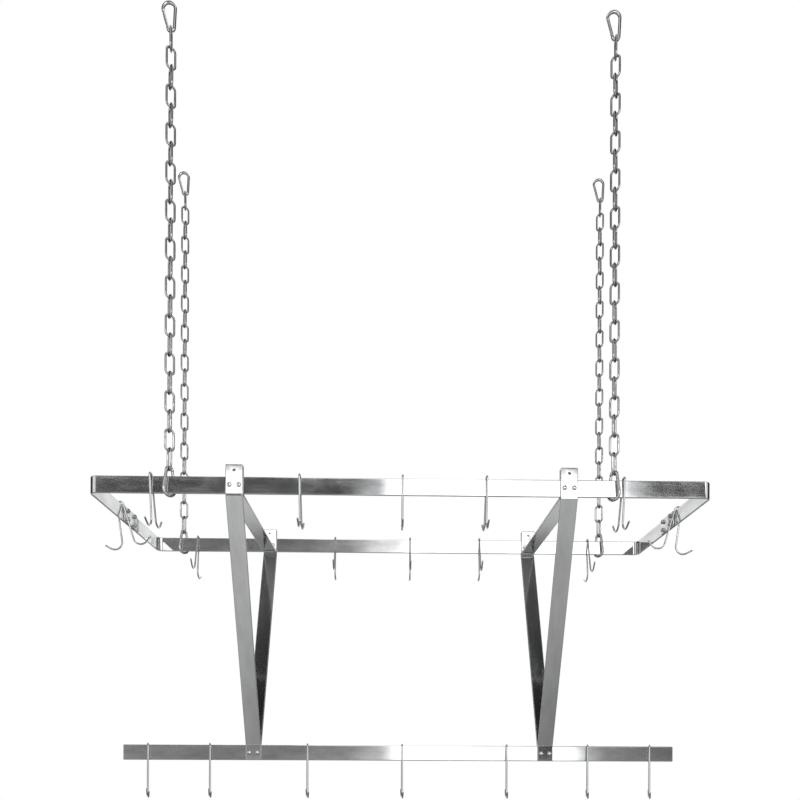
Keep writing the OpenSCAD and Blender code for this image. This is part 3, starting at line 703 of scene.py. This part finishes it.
# Link i of a chain: a pitch lower and a quarter turn on from the last, but the two end links are turned to
# suit their snap hooks.
def chainLink(i, x, y, mirror):
    ends = {0: link["firstTurn"], link["count"] - 1: link["lastTurn"]}
    turn = ends.get(i, link["turn"] + (0 if i % 2 else 90))
    spin = turnZ(turn) if i % 4 < 2 else turnZ(turn + 180)   # every other weld faces the other way
    part = moved(oneLink, sideFlip(mirror) @ spin, (x, y, firstWireZ - i * pitch))
    return dict(part, grain=part["grain"] + np.array([*(v * i for v in link["grainShift"]), x]))


for name, (x, y, mirror) in chainPlaces.items():
    runs = {
        "link_top_" + name: range(0, 1),
        "chain_%s_run" % name: range(1, link["count"] - 1),
        "link_low_" + name: range(link["count"] - 1, link["count"]),
    }
    for node, members in runs.items():
        links = [chainLink(i, x, y, mirror) for i in members]
        dress(meshFrom(node + "_chain", links), node, chainMetal)
print("chains linked")

# Snap hooks: pear-shaped wire whose two ends are pressed flat, for the rivet and for the latch
bottom = (0, -snapRun - narrowMid)
eyeBend = (narrowMid, snapLean - 90)
pivotSteps = [eyeBend, (snap["pivotAt"] + snap["pastPivot"],)]
latchSteps = [eyeBend, (legLength,), (wideMid, -180 - 2 * snapLean),
              (snap["shoulder"] + snap["tongueLength"],)]
pivotHalf = tracePath(bottom, 90, pivotSteps, snap["bendStep"], snap["pivotStep"])
latchHalf = mirrored(tracePath(bottom, 90, latchSteps, snap["bendStep"], snap["latchStep"]))
path, headings, lengths = joinHalves(pivotHalf, latchHalf)


# How far a wire is pressed flat towards its end: a smooth step t t (3 - 2 t) from 0 to 1, across the place
# that lies the given run before the end.
def pressed(place, end, run):
    t = np.clip((place - end + run + snap["pressStart"]) / (snap["pressStart"] + snap["pressEnd"]), 0, 1)
    return t * t * (3 - 2 * t)


pivotFlat = snap["pivotAt"] + snap["pastPivot"] - snap["shoulder"]
pivotShare = pressed(-lengths, -lengths[0], pivotFlat)
flatShare = pivotShare + pressed(lengths, lengths[-1], snap["tongueLength"])
# the rivet's eye has a round end: its half width is sqrt(R R - (R - s) (R - s)) at s from the end
toRound = np.maximum(snap["eyeRadius"] - (lengths - lengths[0]) - snap["eyeStart"], 0)
eyeHalf = np.sqrt(np.clip(snap["eyeRadius"] ** 2 - toRound ** 2, snap["leastHalf"] ** 2, None))
wideHalf = np.where(pivotShare > 0.5, np.minimum(snap["flatHalf"], eyeHalf), snap["flatHalf"])
halfA = snapHalf + (wideHalf - snapHalf) * flatShare
halfB = snapHalf + (snap["tongue"] - snap["wire"]) / 2 * flatShare
power = 2 + snap["squareness"] * flatShare
snapWire = wireAlong(path, headings, lengths, halfA, halfB, power, sides=snap["sides"])


# A turned piece about Z from (radius, height) stations: point = (r cos f, r sin f, z).
def turned(stations, sides):
    stations = np.asarray(stations, float)
    f = np.radians(np.arange(sides) * 360 / sides)
    ring = np.stack([np.cos(f), np.sin(f), np.zeros(sides)], 1)
    grid = stations[:, None, :1] * ring[None] + np.array([0, 0, 1]) * stations[:, None, 1:]
    return moved(shell(grid, grid))


# A domed head from its rim to its crown: r = R sin a / sin A, z = h (cos a - cos A) / (1 - cos A).
def dome(radius, height, base, steps=7, fullness=70):
    a = np.radians(np.linspace(fullness, 3, steps))
    top = math.radians(fullness)
    rise = height * (np.cos(a) - np.cos(top)) / (1 - np.cos(top))
    return np.stack([radius * np.sin(a) / np.sin(top), base + rise], 1)


# half a rivet: its pin, the underside of its head and the rim, and the dome over them
rivetHalf = snap["gate"] / 2 - snap["rivetSink"]
pinEnd, underside, rim = snap["rivetRim"]
collar = [[snap["pin"] / 2, rivetHalf - pinEnd], [snap["rivetHead"], rivetHalf - underside]]
halfRivet = np.vstack([collar, dome(snap["rivetHead"], snap["rivetRise"], rivetHalf + rim)])
rivetStations = np.vstack([halfRivet[::-1] * [1, -1], halfRivet])
pivotPlace = np.array([0, 0, -snapRun]) + turnY(snapLean) @ np.array([narrowMid, 0, snap["pivotAt"]])
rivet = moved(turned(rivetStations, snap["rivetSides"]), turnX(90), pivotPlace)


# A snap hook's part at a chain's top: raised by its run, so that it leans about the narrow eye that carries
# the first link, and mirrored.
def atTopSnap(part, x, y):
    part = moved(part, shift=(0, 0, snapRun))
    return moved(part, flipX @ turnY(snap["lean"]), (x, y, snapEyeZ))


# A snap hook's part at a chain's foot: turned upside down round the rail, then about Z, and mirrored on
# one side.
def atLowSnap(part, x, y, mirror):
    return moved(part, sideFlip(mirror) @ turnZ(snap["turn"]) @ flipZ, (x, y, snapLowZ))


for name, (x, y, mirror) in chainPlaces.items():
    topParts = [atTopSnap(part, x, y) for part in (snapWire, rivet)]
    lowParts = [atLowSnap(part, x, y, mirror) for part in (snapWire, rivet)]
    dress(meshFrom("snap_top_%s_wire" % name, topParts), "snap_top_" + name, snapMetal)
    dress(meshFrom("snap_low_%s_wire" % name, lowParts), "snap_low_" + name, snapMetal)

gateFinish = {"mergeWithin": 0.005, "arris": 0.2, "arrisAngle": 35}   # mm and degrees


# The gates keep their forked CAD shape: a copy is merged, its arrises are broken and its grain is its place.
def brokenEdges(node, name):
    piece = newObject(name, frame["nodes"][node].data.copy())
    weld = piece.modifiers.new("weld", "WELD")
    weld.merge_threshold = gateFinish["mergeWithin"] * mm
    applyModifiers(piece)
    setGrain(piece.data, pointsOf(piece.data))
    edge = piece.modifiers.new("arris", "BEVEL")
    edge.width, edge.segments = gateFinish["arris"] * mm, 2
    edge.limit_method, edge.angle_limit = "ANGLE", math.radians(gateFinish["arrisAngle"])
    edge.use_clamp_overlap = False
    evenShading(piece)
    return piece


for end in ("top", "low"):
    for name in chainPlaces:
        node = "gate_%s_%s" % (end, name)
        dress(brokenEdges(node, node + "_rod"), node, gateMetal)
print("snap hooks pressed")

# Bolts and nuts
bolt = {         # mm
    "shank": 8.0, "head": 15.0, "headHeight": 4.2, "end": 1.5, "thread": 1.25, "threadDepth": 0.35,
    "domeBase": 0.5, "rim": ((0.0, 0.35), (0.25, 0.05), (0.5, 0.0)),   # inset, and height over the bar
    "insideNut": 0.4, "threadSteps": 6, "chamferIn": 0.7, "chamferUp": 0.6, "tipCentre": 0.4,
    "domeSteps": 9, "sides": 28,
    "nut": 13.0, "nutHeight": 6.5, "nutSteps": (0, 0.25, 0.6, 1.1), "nutFace": 0.05,
    "boreGap": 0.1, "boreChamfer": 0.5, "nutSides": 48,
}


# A domed bolt: the head, a plain shank through the bars, and past the nut a thread of grooves
# r - depth |sin(pi z / pitch)|, with a chamfered end.
def boltShell(grip):
    nutEnd = -grip - bolt["nutHeight"]
    foot = nutEnd - bolt["end"]
    step = -bolt["thread"] / bolt["threadSteps"]
    z = np.arange(nutEnd + bolt["insideNut"], foot + bolt["chamferUp"], step)
    groove = bolt["shank"] / 2 - bolt["threadDepth"] * np.abs(np.sin(np.pi * z / bolt["thread"]))
    rise = bolt["headHeight"] - bolt["domeBase"]
    head = dome(bolt["head"] / 2, rise, bolt["domeBase"], bolt["domeSteps"])[::-1]
    rim = [[bolt["head"] / 2 - inset, height] for inset, height in bolt["rim"]]
    tip = [[bolt["shank"] / 2 - bolt["chamferIn"], foot], [bolt["tipCentre"], foot]]
    shank = [[bolt["shank"] / 2, 0.0]]
    return turned(np.vstack([head, rim, shank, np.stack([groove, z], 1), tip]), bolt["sides"])


# A hexagon nut: radius = flat / cos(f mod 60 - 30), cut by the chamfer cone r < c + (edge distance) / tan 30,
# with the bore as a dished ring round the shank.
def nutShell():
    height, sides = bolt["nutHeight"], bolt["nutSides"]
    f = np.radians(np.arange(sides) * 360 / sides)
    flat = bolt["nut"] / 2 / np.cos(np.mod(f, np.radians(60)) - np.radians(30))
    steps = np.array(bolt["nutSteps"])
    heights = np.concatenate([steps, height - steps[::-1]])
    edge = np.minimum(heights, height - heights)
    cone = bolt["nut"] / 2 + bolt["nutFace"] + edge / math.tan(math.radians(30))
    bore, chamfer = bolt["shank"] / 2 + bolt["boreGap"], bolt["boreChamfer"]
    inner = np.array([bore + chamfer, bore, bore, bore + chamfer])
    innerHeights = np.array([height, height - chamfer, chamfer, 0])
    radius = np.vstack([np.minimum(flat[None], cone[:, None]), np.broadcast_to(inner[:, None], (4, sides))])
    z = np.broadcast_to(np.concatenate([heights, innerHeights])[:, None], radius.shape)
    grid = np.stack([radius * np.cos(f), radius * np.sin(f), z], -1)
    return moved(shell(grid, grid, True))


# A turn about Z by chance, up to one flat of the hexagon.
def chanceTurn():
    return turnZ(seed.uniform(0, 60))


grips = {"brace": 3 * thick, "foot": 3 * thick + 2 * rack["footGap"], "splice": 2 * thick}
shells = {name: boltShell(grip) for name, grip in grips.items()}
oneNut = nutShell()
boltParts, nutParts = [], []
seed = np.random.default_rng(7)
for x in (-rack["braceX"], rack["braceX"]):
    for b in (-1, 1):
        along = x + b * rack["boltGap"] / 2
        for side in (-1, 1):
            spin = chanceTurn()
            headPlace = (along, side * (railY + 1.5 * thick), boltZ)
            nutPlace = (along, side * (railY - 1.5 * thick), boltZ)
            boltParts.append(moved(shells["brace"], turnX(-side * 90) @ spin, headPlace))
            nutParts.append(moved(oneNut, turnX(180 - side * 90) @ spin, nutPlace))
        footY = 1.5 * thick + rack["footGap"]
        boltParts.append(moved(shells["foot"], turnX(90), (along, -footY, footZ)))
        nutParts.append(moved(oneNut, turnX(270) @ chanceTurn(), (along, footY, footZ)))
for side in (-1, 1):
    for y in (-1, 1):
        for b in (-1, 1):
            spot = (y * rack["spliceGap"] / 2, boltZ + b * rack["boltGap"] / 2)
            headPlace = (side * (endX + 0.5 * thick), *spot)
            nutPlace = (side * (endX - 1.5 * thick), *spot)
            boltParts.append(moved(shells["splice"], turnY(side * 90), headPlace))
            nutParts.append(moved(oneNut, turnY(-side * 90) @ chanceTurn(), nutPlace))
fasteners = (
    ("bolts_domed", boltParts, "bolts", "bolt", boltMetal),
    ("nuts_hexagon", nutParts, "nuts", "nut", nutMetal),
)
for name, parts, node, slotName, metal in fasteners:
    piece = meshFrom(name, parts)
    evenShading(piece)
    dress(piece, node, metal)
print("bolts fitted:", len(boltParts))

# Studio
studio = {
    "floorZ": -3.25, "floorReach": 40.0, "floorTone": 0.93, "shadowNear": 2.2, "shadowFar": 5.0,
    "worldPlain": 0.55, "lampAim": (0, 0, -1.7),
    "lamps": (   # place in m, size in m, power in W
        ((-2.6, -2.6, 1.6), 1.6, 110.0),
        ((2.8, -2.0, 1.2), 1.6, 80.0),
        ((0.3, 2.6, 2.0), 2.0, 70.0),
    ),
}


# What the camera, the metal and glass see of a backdrop: the largest of the three ray flags.
def seenRays(tree):
    rays = nodeOf(tree, "LightPath")
    either = mathOf(tree, "MAXIMUM", rays.outputs["Is Camera Ray"], rays.outputs["Is Glossy Ray"])
    return mathOf(tree, "MAXIMUM", either, rays.outputs["Is Transmission Ray"])


world = bpy.data.worlds.new("studioWorld")
bpy.context.scene.world = world
world.use_nodes = True
tree = world.node_tree
tree.nodes.clear()
plain = nodeOf(tree, "Background", {"Color": (1, 1, 1, 1), "Strength": studio["worldPlain"]})
white = nodeOf(tree, "Background", {"Color": (1, 1, 1, 1)})
pick = nodeOf(tree, "MixShader", {0: seenRays(tree), 1: plain.outputs[0], 2: white.outputs[0]})
nodeOf(tree, "OutputWorld", {"Surface": pick.outputs[0]})


# A sheet for the studio from a grid of points in metres.
def stageSheet(name, grid, material):
    rows, columns = grid.shape[:2]
    mesh = bpy.data.meshes.new(name)
    mesh.from_pydata(grid.reshape(-1, 3).tolist(), [], gridFaces(rows, columns, False, False).tolist())
    mesh.materials.append(material)
    made = newObject(name, mesh)
    return made


# A level sheet between two depths and two sides.
def level(height, near, far, left, right):
    x, y = np.meshgrid([left, right], [near, far], indexing="ij")
    return np.stack([x, y, np.full_like(x, height)], -1)


# The floor is pale and keeps the shadow near the rack; further out it passes into the white backdrop.
floorMaterial, tree = emptyMaterial("paleFloor")
matte = nodeOf(tree, "BsdfDiffuse", {"Color": (studio["floorTone"],) * 3 + (1,)})
glow = nodeOf(tree, "Emission")
place = nodeOf(tree, "TexCoord").outputs["Object"]
distance = nodeOf(tree, "VectorMath", {0: place}, operation="LENGTH").outputs["Value"]
fade = ranged(tree, distance, studio["shadowNear"], studio["shadowFar"], curve="SMOOTHSTEP")
share = mathOf(tree, "MULTIPLY", fade, seenRays(tree))
blend = nodeOf(tree, "MixShader", {0: share, 1: matte.outputs[0], 2: glow.outputs[0]})
nodeOf(tree, "OutputMaterial", {"Surface": blend.outputs[0]})
reach = studio["floorReach"]
floor = stageSheet("floor", level(0.0, -reach, reach, -reach, reach), floorMaterial)
floor.location = (0, 0, studio["floorZ"])


# A card that only the metal sees. Its brightness is a ramp over one coordinate of its own place, from the
# first stop to the last, times the gain: a level of 0.5 is paper white.
def reflector(name, grid, axis, stops):
    material, tree = emptyMaterial(name)
    low, high = stops[0][0], stops[-1][0]
    ramp = nodeOf(tree, "ValToRGB", {"Fac": ranged(tree, ownPlace(tree, axis), low, high)})
    ramp.color_ramp.interpolation = "EASE"
    marks = ramp.color_ramp.elements
    for number, (at, tone) in enumerate(stops):
        share = (at - low) / (high - low)
        mark = marks[number] if number < 2 else marks.new(share)
        mark.position = share
        mark.color = (tone, tone, tone, 1)
    glow = nodeOf(tree, "Emission", {"Color": ramp.outputs["Color"], "Strength": cards["gain"]})
    nodeOf(tree, "OutputMaterial", {"Surface": glow.outputs[0]})
    made = stageSheet(name, grid, material)
    for rays in ("camera", "diffuse", "shadow", "transmission", "volume_scatter"):
        setattr(made, "visible_" + rays, False)
    return made


# The cards, in m and degrees. The bands stand upright in front, and each rail mirrors one of its own.
cards = {
    "gain": 2.0,
    "away": 5.0, "left": -3.1, "right": 4.6, "floor": -3.2, "ceiling": 2.3, "flagTop": 9.0,
    "flagStart": 72, "flagEnd": 150, "backFlagEnd": 162, "backFlagLow": -1.8, "flagSteps": 25,
    "ceilingSides": (0.95, 3.5), "apronReach": 7.0, "runnerSides": (1.15, 2.1), "runnerLift": 0.01,
}
frontBands = {   # lowest and highest z, then (x, level) from left to right
    "frontRailBand": (0.24, 0.52, (
        (-3.1, 0.4), (-3.0, 0.3), (-2.9, 0.05), (-2.2, 0.05), (-0.45, 0.045), (-0.3, 0.2), (-0.13, 0.34),
        (-0.05, 1.1), (2.2, 1.1), (2.34, 0.32), (2.54, 0.06), (2.8, 0.01), (4.6, 0.0))),
    "tabBand": (0.52, 0.99, ((-3.1, 1.5), (4.6, 1.5))),
    "highBand": (0.99, 2.3, ((-3.1, 0.0), (-1.0, 0.0), (-0.8, 0.8), (0.8, 0.8), (1.0, 0.0), (4.6, 0.0))),
    "backRailBand": (-0.9, 0.24, (
        (-3.1, 0.12), (-1.2, 0.12), (-0.6, 0.19), (0.05, 0.7), (0.2, 1.1), (2.9, 1.1), (3.1, 0.5),
        (4.6, 0.3))),
    "lowRailBand": (-2.42, -0.9, (
        (-3.1, 0.17), (-2.0, 0.14), (-1.0, 0.15), (-0.5, 0.2), (-0.15, 0.35), (0.1, 1.1), (1.86, 1.1),
        (2.1, 0.3), (2.3, 0.17), (3.1, 0.1), (4.6, 0.1))),
    "footBand": (-3.05, -2.42, ((-3.1, 0.15), (-0.3, 0.15), (0.3, 0.04), (4.6, 0.04))),
    "skirt": (-3.2, -3.05, ((-3.1, 0.36), (4.6, 0.32))),
}
flagTones = ((-3.2, 0.25), (-2.7, 0.2), (-2.4, 0.03), (9.0, 0.03))   # (z, level), upwards
backFlagTones = ((-1.8, 0.03), (9.0, 0.03))
# the level cards below: (y, level), front to back
ceilingTones = ((-5.0, 0.0), (-3.9, 0.01), (-2.9, 0.025), (-2.4, 0.04), (-1.5, 0.073), (-0.9, 0.03),
                (0.7, 0.02))
apronTones = {
    "left": ((-5.0, 0.35), (-2.5, 0.29), (-1.0, 0.20)),
    "right": ((-5.0, 0.31), (-2.5, 0.23), (-1.0, 0.15)),
}
runnerTones = ((4.3, 0.34), (5.2, 0.33), (6.0, 0.12), (6.6, 0.03), (7.2, 0.03))
underTones = ((-1.0, 0.16), (-0.6, 0.08), (0.8, 0.08), (1.3, 0.15), (3.3, 0.15), (3.9, 0.07), (5.3, 0.07),
              (6.3, 0.25), (9.0, 0.4))


# A flat upright card in front, between two heights.
def wall(low, high):
    x, z = np.meshgrid([cards["left"], cards["right"]], [low, high], indexing="ij")
    return np.stack([x, np.full_like(x, -cards["away"]), z], -1)


# Part of an upright drum round the rack: (R sin a, -R cos a, z), with a measured from the camera's side.
def drum(start, end, low, high):
    a, z = np.meshgrid(np.radians(np.linspace(start, end, cards["flagSteps"])), [low, high], indexing="ij")
    return np.stack([cards["away"] * np.sin(a), -cards["away"] * np.cos(a), z], -1)


# A level card over the depths of its own stops, between two distances to one side.
def sideLevel(height, tones, side, inner, outer):
    return level(height, tones[0][0], tones[-1][0], *sorted((side * inner, side * outer)))


for name, (low, high, stops) in frontBands.items():
    reflector(name, wall(low, high), "X", stops)
for name, side in (("left", -1), ("right", 1)):
    # dark at the sides for the bends; its back edge stops short of what the cross bars mirror
    flag = drum(side * cards["flagStart"], side * cards["flagEnd"], cards["floor"], cards["flagTop"])
    reflector(name + "Flag", flag, "Z", flagTones)
    start, end = side * cards["flagEnd"], side * cards["backFlagEnd"]
    reflector(name + "BackFlag", drum(start, end, cards["backFlagLow"], cards["flagTop"]), "Z", backFlagTones)
    # dark overhead for the back legs, with an open gap in the middle for the chains
    overhead = sideLevel(cards["ceiling"], ceilingTones, side, *cards["ceilingSides"])
    reflector(name + "Top", overhead, "Y", ceilingTones)
    # the floor in front, which the front legs mirror
    apron = sideLevel(cards["floor"], apronTones[name], side, 0, cards["apronReach"])
    reflector(name + "Apron", apron, "Y", apronTones[name])
    # the floor behind, light to dark, which the cross bars mirror
    runner = sideLevel(cards["floor"] + cards["runnerLift"], runnerTones, side, *cards["runnerSides"])
    reflector(name + "Runner", runner, "Y", runnerTones)
under = level(cards["floor"], underTones[0][0], underTones[-1][0], -cards["apronReach"], cards["apronReach"])
reflector("underCard", under, "Y", underTones)

target = np.array(studio["lampAim"])
for number, (spot, size, power) in enumerate(studio["lamps"]):
    lamp = bpy.data.lights.new("lamp%d" % number, "AREA")
    lamp.shape, lamp.size, lamp.energy = "SQUARE", size, power
    holder = newObject("lamp%d" % number, lamp)
    away = np.array(spot) - target
    flat = math.hypot(away[0], away[1])
    holder.rotation_euler = (math.atan2(flat, away[2]), 0, math.atan2(away[0], -away[1]))
    holder.location = spot
    holder.visible_glossy = False   # the metal reflects the cards alone
print("studio lit")
